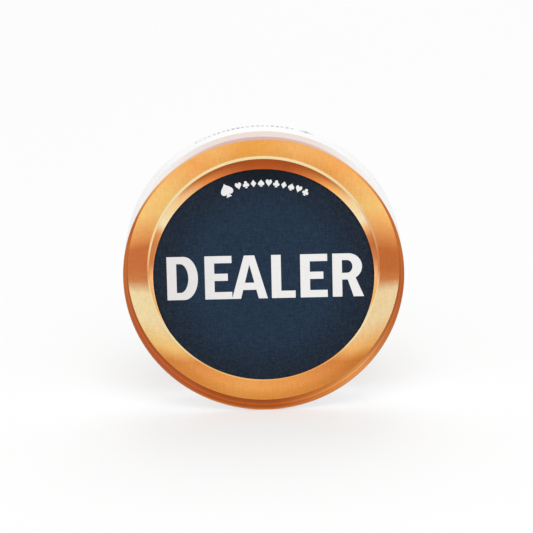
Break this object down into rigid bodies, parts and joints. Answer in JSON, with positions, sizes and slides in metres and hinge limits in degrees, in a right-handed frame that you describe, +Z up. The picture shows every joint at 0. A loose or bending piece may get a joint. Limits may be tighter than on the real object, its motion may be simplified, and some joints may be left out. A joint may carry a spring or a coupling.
{
  "type": "dealer button",
  "caption": "Thick round puck standing on its rim, with a printed gold ring, a dark blue field and the word DEALER on both faces.",
  "frame": {"origin": "lowest point of the rim, midway between the two faces, where the button stands on a table", "axes": "+Z up from the rim's lowest point through the disc centre and the top of the word; the disc axis is Y and the front face looks along -Y; +X is to the right as the front word is read"},
  "size_m": [0.05, 0.012, 0.05],
  "materials": {
    "disc_ceramic": "matte",
    "bond_adhesive": "matte",
    "print_bevel": "satin",
    "print_gold": "satin",
    "print_lip": "satin",
    "print_copper": "satin",
    "print_navy": "satin",
    "print_white": "satin"
  },
  "bodies": {
    "root": {"front_disc": "disc_ceramic", "rear_disc": "disc_ceramic", "bond_film": "bond_adhesive", "front_outer_bevel": "print_bevel", "front_ring_face": "print_gold", "front_lip_line": "print_lip", "front_inner_bevel": "print_copper", "front_field": "print_navy", "front_word": "print_white", "front_pip_row": "print_white", "front_pip_lead": "print_white", "rear_outer_bevel": "print_bevel", "rear_ring_face": "print_gold", "rear_lip_line": "print_lip", "rear_inner_bevel": "print_copper", "rear_field": "print_navy", "rear_word": "print_white", "rear_pip_row": "print_white", "rear_pip_lead": "print_white", "rim_marks": "print_navy"}
  },
  "joints": []
}
